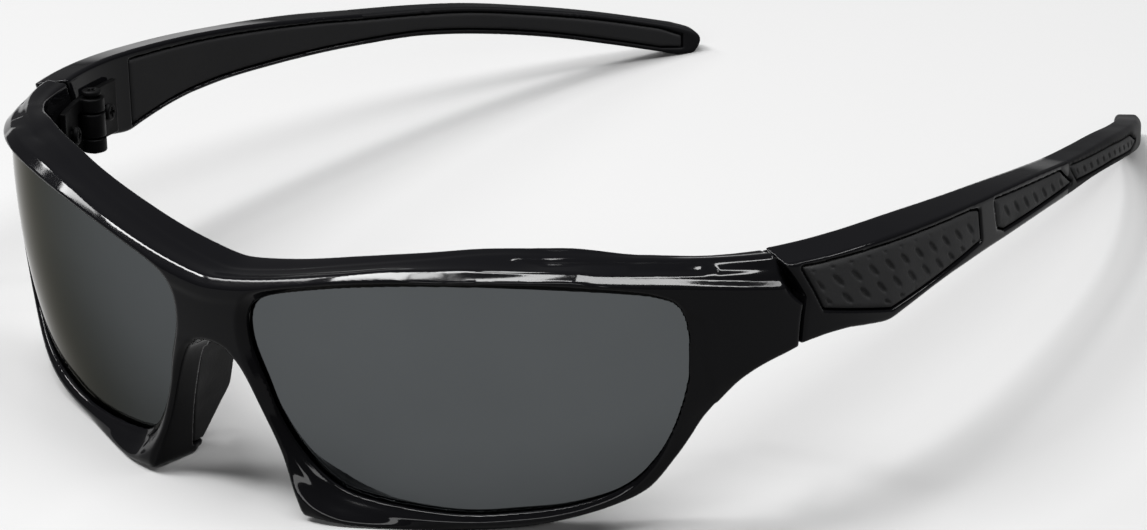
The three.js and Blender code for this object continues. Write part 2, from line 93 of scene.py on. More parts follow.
TEMPLE_THICKNESS = 5.4
TEMPLE_TAPER = [(78, 1), (100, 1), (120, 0.88), (190, 0.72), (216, 0.68)]
TEMPLE_TOP = [(78, 3.9), (84, 3.75), (90, 3.6), (97, 3.3), (104, 2.85), (111, 2.3), (118.7, 1.55),
              (127.6, 0.55), (137.4, -0.75), (148, -2.35), (160, -4), (170, -5.55), (183, -8.3),
              (195, -11.1), (210, -15)]
TEMPLE_BOTTOM = [(81, -7.55), (85, -7.25), (88, -7.35), (92, -7.95), (96.2, -8.5), (99.4, -8), (103, -7.4),
                 (107, -6.85), (112, -6.45), (120, -6.25), (128, -6.4), (138, -6.75),
                 (149, -7.45), (158, -8.2), (165, -9.2), (174, -10.9), (186, -13.6),
                 (197.5, -16.65), (208, -19.5)]
TIP = [(213.5, -16.4), (214.6, -18), (213.4, -20), (211, -20.2)]
SATIN_FROM = 148  # the finish changes from gloss to satin here
LINER_START, LINER_END = 97, 211
LINER_MARGIN = 1
LINER_DEPTH = 1.1
INLAY_DEPTH = 1
INLAYS = {
    "front": [(80.7, 2.6), (92, 2.15), (104, 1.4), (115.3, 0.6), (117.7, 0), (118.5, -4.3), (96.6, -6.9),
              (84.2, -3.6), (82.6, -0.6)],
    "middle": [(122.5, 0), (145, -2.9), (147, -4.3), (149.4, -5.8), (125.6, -4.9), (123.6, -4)],
    "rear": [(149, -3.4), (168, -6.5), (183, -9.6), (189, -12.2), (184, -12), (170, -9), (152, -6.2)],
}

PIN_S, PIN_N = 81.2, -7.7
KNUCKLE_RADIUS = 1.8
PIN_RADIUS = 0.7
FRAME_KNUCKLES = [(-7, -5), (-0.9, 1.1)]
TEMPLE_KNUCKLE = (-4.7, -1.2)
LEAF_OUTER = -TEMPLE_THICKNESS - GAP
LEAF_THICKNESS = 0.9
FRAME_LEAF = (71, 78)
TEMPLE_LEAF = (84.5, 91.5)
LEAF_SCREW_HEIGHT = -3
LEAF_SCREW_HEAD = 1.3
LEAF_SCREW_LENGTH = 3.4
PIN_HEAD_RADIUS = 1.4


def smooth(stations):
    """A smooth curve through (x, y) stations that doesn't overshoot them."""
    x, y = np.array(stations, float).T
    rise = np.diff(y) / np.diff(x)
    slope = np.concatenate([rise[:1], np.zeros(len(rise) - 1), rise[-1:]])
    both = rise[:-1] * rise[1:]
    total = rise[:-1] + rise[1:]
    slope[1:-1] = np.where(both > 0, 2 * both / np.where(both > 0, total, 1), 0)

    def curve(t):
        t = np.asarray(t, float)
        i = np.clip(np.searchsorted(x, t, side="right") - 1, 0, len(x) - 2)
        h = x[i + 1] - x[i]
        u = (t - x[i]) / h
        w = np.clip(u, 0, 1)
        value = y[i] + (y[i + 1] - y[i]) * w * w * (3 - 2 * w)
        value = value + h * (slope[i] * w * (1 - w) ** 2 - slope[i + 1] * w * w * (1 - w))
        return value + h * (slope[i] * np.minimum(u, 0) + slope[i + 1] * np.maximum(u - 1, 0))

    return curve


def fade(x, a, b):
    t = np.clip((x - a) / (b - a), 0, 1)
    return t * t * (3 - 2 * t)


heading = smooth(HEADING)
front_top = smooth(FRONT_TOP)
front_bottom = smooth(FRONT_BOTTOM)
temple_top = smooth(TEMPLE_TOP)
temple_bottom = smooth(TEMPLE_BOTTOM)
temple_taper = smooth(TEMPLE_TAPER)
brow_depth = smooth(BROW_DEPTH)
nose_back = smooth(NOSE_BACK)
nose_proud = smooth(NOSE_PROUD)

_angles = np.radians(heading(np.arange(0, BAND_END, BAND_STEP) + BAND_STEP / 2))
PLAN_S = np.arange(len(_angles) + 1) * BAND_STEP
PLAN_X = np.concatenate([[0], np.cumsum(BAND_STEP * np.cos(_angles))])
PLAN_Y = np.concatenate([[0], np.cumsum(BAND_STEP * np.sin(_angles))])


def on_band(s, z, n):
    """The plan position (x, y) of a band point, in millimetres."""
    side = np.where(s < 0, -1.0, 1.0)
    away = np.abs(s)
    angle = np.radians(heading(away))
    curved = 1 - fade(away, FLAT_FROM, FLAT_TO)
    out = n - curved * (z - LENS_CREST) ** 2 / (2 * LENS_CURVE)
    x = side * (np.interp(away, PLAN_S, PLAN_X) + out * np.sin(angle))
    y = np.interp(away, PLAN_S, PLAN_Y) - out * np.cos(angle)
    return x, y


def to_table(x, y, z):
    """From the worn position, in millimetres, to the table, in metres."""
    c, t = np.cos(TABLE_TILT), np.sin(TABLE_TILT)
    return np.stack([x, y * c + z * t + ORIGIN_Y, z * c - y * t + REST_HEIGHT], -1) / 1000


# ---------------------------------------------------------------- flat outlines


def spline(points, closed=False, per=16):
    """Points on a Catmull-Rom curve."""
    p = np.array(points, float)
    if closed:
        p = np.concatenate([p[-1:], p, p[:2]])
    else:
        p = np.concatenate([2 * p[:1] - p[1:2], p, 2 * p[-1:] - p[-2:-1]])
    t = np.arange(per)[:, None] / per
    out = []
    for a, b, c, d in zip(p[:-3], p[1:-2], p[2:-1], p[3:]):
        out.append(0.5 * (2 * b + (c - a) * t + (2 * a - 5 * b + 4 * c - d) * t ** 2
                          + (3 * b - a - 3 * c + d) * t ** 3))
    if not closed:
        out.append(p[-2:-1])
    return np.concatenate(out)


def along(curve, start, stop, step=0.7):
    x = np.linspace(start, stop, max(2, int(abs(stop - start) / step) + 1))
    return np.stack([x, curve(x)], 1)


class Flat:
    """A closed outline in (s, z), with its signed distance (negative inside) kept on a fine grid."""

    PITCH = 0.2
    REACH = 9

    def __init__(self, outline):
        outline = np.array(outline, float)
        self.low = outline.min(0) - self.REACH
        size = np.ceil((outline.max(0) + self.REACH - self.low) / self.PITCH).astype(int) + 2
        s = self.low[0] + np.arange(size[0]) * self.PITCH
        z = self.low[1] + np.arange(size[1]) * self.PITCH
        s, z = np.meshgrid(s, z, indexing="ij")
        nearest = np.full(s.shape, 1e9)
        inside = np.zeros(s.shape, bool)
        for (ax, ay), (bx, by) in zip(outline, np.roll(outline, -1, 0)):
            ex, ey = bx - ax, by - ay
            t = np.clip(((s - ax) * ex + (z - ay) * ey) / max(ex * ex + ey * ey, 1e-12), 0, 1)
            nearest = np.minimum(nearest, (s - ax - t * ex) ** 2 + (z - ay - t * ey) ** 2)
            if ay != by:
                crosses = (z < ay) != (z < by)
                inside ^= crosses & (s < ax + (z - ay) / ey * ex)
        self.grid = np.where(inside, -1, 1) * np.sqrt(nearest)

    def at(self, s, z):
        u = np.clip((s - self.low[0]) / self.PITCH, 0, self.grid.shape[0] - 1.001)
        v = np.clip((z - self.low[1]) / self.PITCH, 0, self.grid.shape[1] - 1.001)
        u, v = np.broadcast_arrays(u, v)
        i, j = u.astype(int), v.astype(int)
        u, v = u - i, v - j
        g = self.grid
        return ((g[i, j] * (1 - u) + g[i + 1, j] * u) * (1 - v)
                + (g[i, j + 1] * (1 - u) + g[i + 1, j + 1] * u) * v)


# ---------------------------------------------------------------- distance fields


def smin(a, b, k):
    h = np.maximum(k - np.abs(a - b), 0) / k
    return np.minimum(a, b) - h * h * k / 4


def smax(a, b, k):
    return -smin(-a, -b, k)


def slab(x, low, high):
    return np.maximum(low - x, x - high)


def rounded(d, w, r):
    """Two distances met with a round edge of radius r."""
    return (np.minimum(np.maximum(d + r, w + r), 0)
            + np.hypot(np.maximum(d + r, 0), np.maximum(w + r, 0)) - r)


def surface_net(field, low, high, step, relax=2):
    """Quads on the zero surface of a field, over a box of cells."""
    axes = [np.arange(low[i] - step / 2, high[i] + step, step) for i in range(3)]
    value = field(axes[0][:, None, None], axes[1][None, :, None], axes[2][None, None, :])
    inside = value < 0
    mixed = np.zeros([len(a) - 1 for a in axes], np.int8)
    corners = [(i, j, k) for i in (0, 1) for j in (0, 1) for k in (0, 1)]
    for i, j, k in corners:
        mixed += inside[i:len(axes[0]) - 1 + i, j:len(axes[1]) - 1 + j, k:len(axes[2]) - 1 + k]
    cells = np.argwhere((mixed > 0) & (mixed < 8))
    index = np.full(mixed.shape, -1)
    index[tuple(cells.T)] = np.arange(len(cells))
    at = {c: value[tuple((cells + c).T)] for c in corners}
    total = np.zeros((len(cells), 3))
    count = np.zeros(len(cells))
    for axis in range(3):
        for c in corners:
            if c[axis]:
                continue
            far = tuple(v + (i == axis) for i, v in enumerate(c))
            cross = (at[c] < 0) != (at[far] < 0)
            t = at[c] / np.where(cross, at[c] - at[far], 1)
            point = np.tile(np.array(c, float), (len(cells), 1))
            point[:, axis] += t
            total += np.where(cross[:, None], point, 0)
            count += cross
    low_corner = np.array([a[0] for a in axes])
    points = low_corner + (cells + total / count[:, None]) * step
    quads = []
    for axis in range(3):
        b, c = (axis + 1) % 3, (axis + 2) % 3
        head = [slice(None)] * 3
        tail = [slice(None)] * 3
        head[axis], tail[axis] = slice(0, -1), slice(1, None)
        first, second = inside[tuple(head)], inside[tuple(tail)]
        edges = np.argwhere(first != second)
        edges = edges[(edges[:, b] > 0) & (edges[:, c] > 0)]
        outwards = first[tuple(edges.T)]
        shift_b, shift_c = np.eye(3, dtype=int)[b], np.eye(3, dtype=int)[c]
        quad = np.stack([index[tuple((edges - u * shift_b - v * shift_c).T)]
                         for u, v in ((1, 1), (0, 1), (0, 0), (1, 0))], 1)
        quads.append(np.where(outwards[:, None], quad, quad[:, ::-1]))
    quads = np.concatenate(quads)
    quads = quads[(quads >= 0).all(1)]
    links = np.concatenate([quads[:, [i, (i + 1) % 4]] for i in range(4)])
    links = np.concatenate([links, links[:, ::-1]])
    degree = np.bincount(links[:, 0], minlength=len(points))[:, None]
    for turn in range(relax + 1):
        if turn:
            near = np.stack([np.bincount(links[:, 0], points[links[:, 1], i], len(points))
                             for i in range(3)], 1)
            points = 0.5 * points + 0.5 * near / np.maximum(degree, 1)
        for _ in range(2):
            points = pulled_in(field, points, step)
    return points, quads


PROBE = 0.1  # how far apart, each way, the field is read for its slope


def pulled_in(field, points, step):
    """One Newton step towards the zero surface, no longer than half a cell."""
    value = field(*points.T)
    slope = np.stack([(field(*(points + v).T) - field(*(points - v).T)) / (2 * PROBE)
                      for v in PROBE * np.eye(3)], 1)
    size = np.maximum((slope ** 2).sum(1), 0.05)
    move = -(value / size)[:, None] * slope
    length = np.linalg.norm(move, axis=1, keepdims=True)
    return points + move * np.minimum(1, 0.5 * step / np.maximum(length, 1e-9))


# ---------------------------------------------------------------- pieces


def new_object(name, points, quads, materials, body, nodes, material_of=None):
    mesh = bpy.data.meshes.new(name)
    mesh.from_pydata(points.tolist(), [], quads.tolist())
    mesh.validate()
    mesh.polygons.foreach_set("use_smooth", np.ones(len(mesh.polygons), bool))
    piece = bpy.data.objects.new(name, mesh)
    bpy.context.scene.collection.objects.link(piece)
    for material in materials:
        mesh.materials.append(material)
    if material_of is not None:
        mesh.polygons.foreach_set("material_index", material_of.astype(np.int32))
    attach(piece, body)
    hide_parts(*nodes)
    return piece


def bent(points):
    """Band coordinates to places in the model's frame."""
    s, z, n = points.T
    x, y = on_band(s, z, n)
    return to_table(x, y, z)


def both_sides(name, node, points, quads, materials, bodies, material_of=None):
    """The piece on the left and its mirror image on the right."""
    for side, body, flip in (("left", bodies[0], 1), ("right", bodies[1], -1)):
        placed = points * (flip, 1, 1)
        turned = quads if flip > 0 else quads[:, ::-1]
        new_object(f"{name}_{side}", placed, turned, materials, body, [f"{node}_{side}"], material_of)


ARMS = ("left_arm", "right_arm")
FRONT = ("front", "front")

lens_line = spline(LENS_OUTLINE, closed=True)
nasal_line = spline(NASAL_EDGE)

PAST_MIDDLE = -12  # the half outlines run on past the middle, so that it is no edge of theirs
SEAM_CORNER = 1.5  # where the top's curve ends before the seam
FLANK_THICKNESS = 3.2
FLANK_HEIGHTS = (-34, -11)
PAD_HEIGHTS = (-30.4, -13.7)
POCKET_HEIGHTS = (-30.7, -13.4)

half_front = np.concatenate([
    [(PAST_MIDDLE, front_top(0))],
    along(front_top, 0, SEAM[0][0] - SEAM_CORNER),
    SEAM,
    along(front_bottom, SEAM[3][0] - 2, FRONT_BOTTOM[0][0]),
    nasal_line,
    [(PAST_MIDDLE, NASAL_EDGE[-1][1])],
])
half_brow = np.concatenate([
    [(PAST_MIDDLE, front_top(0))],
    along(front_top, 0, SEAM[0][0] - SEAM_CORNER),
    SEAM,
    along(front_bottom, SEAM[3][0] - 2, 69),
    [(67.2, -8), (66.8, -2)],
    along(lambda s: front_top(s) + BROW_BOTTOM, 62, 0),
    [(PAST_MIDDLE, front_top(0) + BROW_BOTTOM)],
])


def flank(start, stop, low, high):
    """Outline of a strip that follows the nasal edge between two heights."""
    part = nasal_line[(nasal_line[:, 1] > low) & (nasal_line[:, 1] < high)]
    return np.concatenate([part + (start, 0), (part + (stop, 0))[::-1]])


LENS = Flat(lens_line)
HALF_FRONT = Flat(half_front)
HALF_BROW = Flat(half_brow)
FLANK = Flat(flank(0, FLANK_THICKNESS, *FLANK_HEIGHTS))
PAD_POCKET = Flat(flank(-1, PAD_THICKNESS + GAP, *POCKET_HEIGHTS))
PAD = Flat(flank(0, PAD_THICKNESS, *PAD_HEIGHTS))

# The crease on the lower outside of the rim and endpiece: below it the surface turns inwards.
CREASE = [(80, -8.6), (74.5, -9.6), (69.1, -11.8), (65.4, -14.4), (63.9, -18.2), (61.6, -22.2), (57.8, -25.4),
          (51, -27.9), (42, -29.9), (30, -31.3), (20, -31.4), (13, -31.2)]
CREASE_SLOPE = 0.35
SLANT = 0.86  # keeps a slanting face's value near its true distance
crease_line = spline(CREASE)
ABOVE_CREASE = Flat(np.concatenate([[(90, -7.5)], crease_line, [(PAST_MIDDLE, -31), (PAST_MIDDLE, 12), (90, 12)]]))

BRIDGE_SOFT = 2.2  # rounds the sharp change of direction at the middle of the bridge
# Leg of the chamfer along the front of the brow.
STRIP = smooth([(0, 0.75), (20, 0.75), (28, 1.05), (35, 1.4), (42, 1.0), (50, 0.72), (60, 0.65), (84, 0.6)])
INNER_BEVEL = 0.95  # leg of the bevel round each lens
# How much higher or lower the top is than the CAD's flat top, at its front edge, along the small
# bevel that runs between the two, and at its rear edge.
TOP_FRONT = smooth([(0, 0.65), (5, 0.45), (10, 0.4), (16, 0.4), (21, 0.45), (27, 0.6), (30, 0.45), (35, 0),
                    (42, -0.4), (51, -0.65), (54, -1.1), (60, -1.35), (67, -1.5), (78, -2.6)])
TOP_BEVEL = smooth([(40, -0.2), (54, -0.1), (62, -0.1), (70, 0.3), (78, 0.1)])
TOP_REAR = smooth([(0, 1.2), (20, 0.9), (40, 0.9), (50, 1.0), (60, 0.2), (70, 0.1), (80, 0)])
BEVEL_FROM = (41, 48)  # the bevel grows out of the rounded brow between these distances
BEVEL_BACK = -2.4
BEVEL_LEG = 0.5
BEVEL_DROP = 0.9  # height of the small bevel over its leg
LIFT_REACH = (4.5, 7.5)  # how far down the top's lift is felt, on the brow and on the endpiece
LIFT_FADE = 4
ENDPIECE_SPAN = (50, 56)
PANELS = [(57.7, 67.2), (69.2, 76.4)]  # recesses on top of the endpiece
PANEL_DEPTH = 0.15
PANEL_INSET = 0.5  # between a recess and the strip in front of it
PANEL_REAR = 0.3  # and between it and the small bevel behind it
PANEL_SLOPE = (-0.3, 0.5)  # a recess deepens between these distances inside its outline
PANEL_REACH = (1.5, 0.8)  # depths under the top between which a recess takes effect
BEVEL_SHARE, BEVEL_LEAST = 0.5, 0.2  # where the rim is nearly flush, the bevel round the lens is narrower
EDGE = 0.55  # radius of the front's free edges
NOSE_EDGE = 0.6
NOSE_SETBACK = 0.3
BROW_BLEND, NOSE_BLEND = 0.8, 0.9  # fillets where the brow and the nasal flanks join the rims
STRIP_BLEND, CREASE_BLEND, BEVEL_BLEND = 0.22, 0.25, 0.3
POCKET_BLEND = 0.15
FLAT_BLEND = 0.1  # where the table's plane cuts the lowest edges flat
DIAGONAL = 0.7071  # makes the sum of two distances at right angles a distance


def lift_of_top(away, n, front, back):
    """Extra height of the top at a depth n."""
    depth = np.clip((front - n) / (front - back), 0, 1)
    rounded_brow = TOP_FRONT(away) * (1 - fade(depth, 0.05, 0.65)) + TOP_REAR(away) * fade(depth, 0.3, 1)
    drop = BEVEL_DROP * BEVEL_LEG
    foot = TOP_BEVEL(away) - drop
    before = front - STRIP(away)
    towards_foot = np.clip((before - n) / (before - BEVEL_BACK - BEVEL_LEG), 0, 1)
    facet = (TOP_FRONT(away) + (foot - TOP_FRONT(away)) * towards_foot
             + drop * np.clip((BEVEL_BACK + BEVEL_LEG - n) / BEVEL_LEG, 0, 1)
             + (TOP_REAR(away) - TOP_BEVEL(away)) * np.clip((BEVEL_BACK - n) / (BEVEL_BACK - back), 0, 1))
    share = fade(away, *BEVEL_FROM)
    return rounded_brow * (1 - share) + facet * share


def front_surface(away, z, from_lens):
    """How far the front's face stands out of the lens surface: more on the nasal side of each rim."""
    ridge = nose_proud(z) * (1 - fade(away, *RIDGE_SPAN))
    return RIM_PROUD * (1 - RIM_FLUSH * fade(away, *FLUSH_SPAN)) + ridge * fade(from_lens, *RIDGE_WIDTH)


def above_table(s, z, n):
    """Height over the table, in millimetres."""
    _, y = on_band(s, z, n)
    return z * np.cos(TABLE_TILT) - y * np.sin(TABLE_TILT) + REST_HEIGHT


def splay(away, z, n):
    """Where a point of a nasal flank would be if the flanks didn't spread towards their backs."""
    low = fade(-z, *SPLAY_HEIGHTS) * (1 - fade(away, *SPLAY_SPAN))
    return away - NOSE_SPLAY * low * np.maximum(SPLAY_FROM - n, 0)


def front_field(s, z, n):
    """The front moulding: rims, brow and nasal flanks, less bevels, lens openings and pad pockets."""
    away = np.sqrt(s * s + BRIDGE_SOFT ** 2)
    top = front_top(away)
    lens = LENS.at(away, z)
    front = front_surface(away, z, lens)
    back = RIM_BACK + (BROW_BACK - RIM_BACK) * brow_depth(away)
    lift = lift_of_top(away, n, front, back)
    reach = LIFT_REACH[0] + (LIFT_REACH[1] - LIFT_REACH[0]) * fade(away, *ENDPIECE_SPAN)
    z_top = z - lift * fade(z, top - reach, top - reach + LIFT_FADE)
    splayed = splay(away, z, n)
    outline = HALF_FRONT.at(splayed, z_top)
    solid = rounded(outline, slab(n, RIM_BACK, front), EDGE)
    brow = rounded(HALF_BROW.at(away, z_top), slab(n, back, front), EDGE)
    solid = smin(solid, brow, BROW_BLEND)
    nose = rounded(FLANK.at(splayed, z), slab(n, nose_back(z), front - NOSE_SETBACK), NOSE_EDGE)
    solid = smin(solid, nose, NOSE_BLEND)
    strip = (n - front + z_top - top + STRIP(away)) * DIAGONAL
    solid = smax(solid, strip, STRIP_BLEND)
    below_crease = (n - front + CREASE_SLOPE * ABOVE_CREASE.at(away, z)) * SLANT
    solid = smax(solid, below_crease, CREASE_BLEND)
    on_top = fade(z_top, top - PANEL_REACH[0], top - PANEL_REACH[1])
    for start, stop in PANELS:
        depth = slab(n, BEVEL_BACK + BEVEL_LEG + PANEL_REAR, front - STRIP(away) - PANEL_INSET)
        panel = np.maximum(slab(away, start, stop), depth)
        solid = solid + PANEL_DEPTH * on_top * fade(-panel, *PANEL_SLOPE)
    bevel = np.minimum(INNER_BEVEL, BEVEL_SHARE * front + BEVEL_LEAST)
    opening = np.maximum(n - front + bevel, 0) - lens
    solid = smax(solid, opening, BEVEL_BLEND)
    groove = np.maximum(lens - GROOVE_DEPTH, slab(n, -LENS_THICKNESS - GAP, GROOVE_FRONT))
    solid = np.maximum(solid, -groove)
    pocket = np.maximum(PAD_POCKET.at(splayed, z), n - PAD_FRONT - GAP)
    solid = smax(solid, -pocket, POCKET_BLEND)
    return smax(solid, -above_table(s, z, n), FLAT_BLEND)


LENS_EDGE, PAD_EDGE = 0.15, 0.45


def lens_field(s, z, n):
    """A lens, a gap short of the bottom of its groove."""
    return rounded(LENS.at(s, z) - GROOVE_DEPTH + GAP, slab(n, -LENS_THICKNESS, 0), LENS_EDGE)


def pad_field(s, z, n):
    """A nose pad in the pocket on its flank."""
    return rounded(PAD.at(splay(s, z, n), z), slab(n, nose_back(z), PAD_FRONT), PAD_EDGE)


# ---------------------------------------------------------------- temples

seam_side = np.array(SEAM) + (SEAM_GAP, 0)
seam_side[0, 1] = temple_top(seam_side[0, 0])
seam_side[3, 1] = temple_bottom(seam_side[3, 0])
tip_line = spline([(208, float(temple_bottom(208)))] + TIP[::-1] + [(210, -15)])
temple_line = np.concatenate([
    seam_side,
    along(temple_bottom, 84, 207.5),
    tip_line[1:-1],
    along(temple_top, 210, 82),
])


LINER_CORNER, LINER_END_CURVE = 0.6, 4


def liner_line(extra):
    """Outline of the liner, grown on every side by an extra width."""
    m = LINER_MARGIN - extra
    start = LINER_START - extra
    return np.concatenate([
        along(lambda s: temple_bottom(s) + m, start, LINER_END - LINER_END_CURVE + extra),
        [(LINER_END + extra, float(temple_bottom(LINER_END)) + m + LINER_CORNER),
         (LINER_END + extra, float(temple_top(LINER_END)) - m - LINER_CORNER)],
        along(lambda s: temple_top(s) - m, LINER_END - LINER_END_CURVE + extra, start),
    ])


# How much higher the inner edge of the top is than the outer one, and how far down that is felt.
TOP_SLOPE = smooth([(78, 0.9), (84, 1), (100, 0.95), (111, 0.75), (120, 0.6), (128, 0.3), (138, 0), (150, 0)])
SLOPE_REACH = (3.5, 0.5)
# Radius of the outer edges, which grow rounder towards the tip.
OUTER_EDGE = smooth([(78, 0.5), (120, 0.45), (150, 0.6), (180, 1.1), (216, 1.6)])
INNER_EDGE = 0.7
LINER_EDGE = 0.35
INLAY_BLEND = 0.2

TEMPLE = Flat(temple_line)
LINER_POCKET = Flat(liner_line(GAP))
LINER = Flat(liner_line(0))
INLAY = {name: Flat(line) for name, line in INLAYS.items()}


def temple_field(s, z, n):
    """The temple moulding, less the pockets of its liner and inlays."""
    thick = n / temple_taper(s)
    slope = TOP_SLOPE(s) * (-thick / TEMPLE_THICKNESS - 0.5)
    top = temple_top(s)
    outline = TEMPLE.at(s, z - slope * fade(z, top - SLOPE_REACH[0], top - SLOPE_REACH[1]))
    inner = rounded(outline, slab(thick, -TEMPLE_THICKNESS, TEMPLE_THICKNESS), INNER_EDGE)
    outer = rounded(outline, slab(thick, -2 * TEMPLE_THICKNESS, 0), OUTER_EDGE(s))
    solid = np.maximum(inner, outer)
    pocket = np.maximum(LINER_POCKET.at(s, z), thick + TEMPLE_THICKNESS - LINER_DEPTH - GAP)
    solid = smax(solid, -pocket, POCKET_BLEND)
    for flat in INLAY.values():
        cut = np.maximum(flat.at(s, z) - GAP, -INLAY_DEPTH - GAP - thick)
        solid = smax(solid, -cut, INLAY_BLEND)
    return smax(solid, -above_table(s, z, n), FLAT_BLEND)


def liner_field(s, z, n):
    """The soft liner on the inside of a temple."""
    thick = n / temple_taper(s)
    return rounded(LINER.at(s, z), slab(thick, -TEMPLE_THICKNESS, LINER_DEPTH - TEMPLE_THICKNESS), LINER_EDGE)


DASH_PITCH = (3.2, 2.7)
DASH_SIZE = (0.45, 0.85)
DASH_LEAN = -0.9
DASH_CORE = 0.02  # half width of the flat middle of a dimple
DASH_DEPTH = 0.28
DASH_BLEND = 0.25
DASH_MARGIN, MARGIN_BLEND = 0.6, 0.3  # plain border round the dimples
ROW_SLOPE = {"front": -0.045, "middle": -0.12, "rear": -0.18}
INLAY_PROUD = 0.1
INLAY_EDGE = 0.1
BORDER_WIDTH, BORDER_SLOPE, BORDER_BLEND = 0.55, 0.6, 0.15  # bevelled border of an inlay's face


def dashes(s, z, centre):
    """Distance to the nearest of the small slanting dimples, set in staggered rows along the temple."""
    run = s - centre[0]
    row_height = z - centre[1]
    nearest = np.full(np.broadcast(s, z).shape, 1e3)
    row = np.round(row_height / DASH_PITCH[1])
    for shift in (-1, 0, 1):
        r = row + shift
        offset = np.where(np.mod(r, 2) > 0.5, DASH_PITCH[0] / 2, 0.0)
        column = np.round((run - offset) / DASH_PITCH[0])
        ds = run - offset - column * DASH_PITCH[0]
        dz = row_height - r * DASH_PITCH[1]
        u = ds - DASH_LEAN * dz
        distance = np.hypot(np.maximum(np.abs(u) - DASH_CORE, 0) / DASH_SIZE[0], dz / DASH_SIZE[1])
        nearest = np.minimum(nearest, (distance - 1) * DASH_SIZE[0])
    return nearest


def inlay_field(name):
    """An inlay with a bevelled border and dimples in its face."""
    flat = INLAY[name]
    centre = np.mean(INLAYS[name], 0)

    def field(s, z, n):
        thick = n / temple_taper(s)
        d = flat.at(s, z)
        rotated = z - ROW_SLOPE[name] * (s - centre[0])
        solid = rounded(d, slab(thick, -INLAY_DEPTH, INLAY_PROUD), INLAY_EDGE)
        over_face = thick - INLAY_PROUD
        solid = smax(solid, (over_face + BORDER_SLOPE * (d + BORDER_WIDTH)) * SLANT, BORDER_BLEND)
        dimple = dashes(s, rotated, centre)
        dimple = smax(dimple, -(over_face + DASH_DEPTH), DASH_BLEND)
        dimple = smax(dimple, d + DASH_MARGIN, MARGIN_BLEND)
        return smax(solid, -dimple, DASH_BLEND)

    return field


# ---------------------------------------------------------------- hinges

pin_x, pin_y = on_band(np.array(float(PIN_S)), 0.0, PIN_N)
LEAF_EDGE, ARM_EDGE = 0.15, 0.1
LEAF_HEAD_HEIGHT, LEAF_HEAD_CROWN = 0.8, 0.3
PIN_HEAD_HEIGHT, PIN_HEAD_CROWN = 0.8, 0.28
PIN_TAIL, PIN_END = 0.4, 0.12  # how far the pin comes out below, and the roundness of its ends
HEAD_OVERLAP = 0.2  # a shank goes this far into its head
SLOT_DEPTH = 0.4
LEAF_SLOT, PIN_SLOT = (0.75, 0.22), (0.8, 0.2)  # reach and half width of the cross


def from_pin_axis(s, z, n):
    """Plan position relative to the pin's axis."""
    x, y = on_band(s + 0 * n, z * 0 + LENS_CREST, n + 0 * s)
    return x - pin_x, y - pin_y


def leaf_field(leaf, knuckles):
    """A hinge leaf: a plate with a screw hole, and arms from it to the knuckles round the pin."""
    low, high = FRAME_KNUCKLES[0][0], FRAME_KNUCKLES[1][1]
    inner = LEAF_OUTER - LEAF_THICKNESS
    reach = (leaf[1] - 1, PIN_S) if leaf[0] < PIN_S else (PIN_S, leaf[0] + 1)

    def field(s, z, n):
        sheet = slab(n, inner, LEAF_OUTER)
        plate = rounded(np.maximum(slab(s, *leaf), slab(z, low, high)), sheet, LEAF_EDGE)
        from_pin = np.hypot(*from_pin_axis(s, z, n))
        for start, stop in knuckles:
            arm = rounded(np.maximum(slab(s, *reach), slab(z, start, stop)), sheet, ARM_EDGE)
            barrel = rounded(from_pin - KNUCKLE_RADIUS, slab(z, start, stop), LEAF_EDGE)
            plate = np.minimum(plate, np.minimum(arm, barrel))
        middle = (leaf[0] + leaf[1]) / 2
        hole = np.hypot(s - middle, z - LEAF_SCREW_HEIGHT) - PIN_RADIUS - GAP
        plate = np.maximum(plate, -hole)
        return np.maximum(plate, PIN_RADIUS + GAP - from_pin)

    return field


def cross_slot(u, v, depth, reach, width):
    """The recess for a cross-head screwdriver."""
    arms = np.minimum(np.maximum(np.abs(u) - reach, np.abs(v) - width),
                      np.maximum(np.abs(v) - reach, np.abs(u) - width))
    return np.maximum(arms, depth)


def leaf_screw_field(leaf):
    """The cross-head screw through the middle of a leaf."""
    face = LEAF_OUTER - LEAF_THICKNESS - GAP
    middle = (leaf[0] + leaf[1]) / 2

    def field(s, z, n):
        u, v = s - middle, z - LEAF_SCREW_HEIGHT
        radius = np.hypot(u, v)
        crown = face - LEAF_HEAD_HEIGHT
        head = rounded(radius - LEAF_SCREW_HEAD, slab(n, crown, face), LEAF_HEAD_CROWN)
        shank = np.maximum(radius - PIN_RADIUS, slab(n, face - HEAD_OVERLAP, face + LEAF_SCREW_LENGTH))
        solid = np.minimum(head, shank)
        return np.maximum(solid, -cross_slot(u, v, n - crown - SLOT_DEPTH, *LEAF_SLOT))

    return field


def hinge_screw_field(s, z, n):
    """The screw that is the hinge's pin."""
    u, v = from_pin_axis(s, z, n)
    low, high = FRAME_KNUCKLES[0][0] - PIN_TAIL, FRAME_KNUCKLES[1][1] + GAP
    radius = np.hypot(u, v)
    shank = rounded(radius - PIN_RADIUS, slab(z, low, high + HEAD_OVERLAP), PIN_END)
    head = rounded(radius - PIN_HEAD_RADIUS, slab(z, high, high + PIN_HEAD_HEIGHT), PIN_HEAD_CROWN)
    solid = np.minimum(shank, head)
    return np.maximum(solid, -cross_slot(u, v, high + SLOT_DEPTH - z, *PIN_SLOT))


# ---------------------------------------------------------------- materials


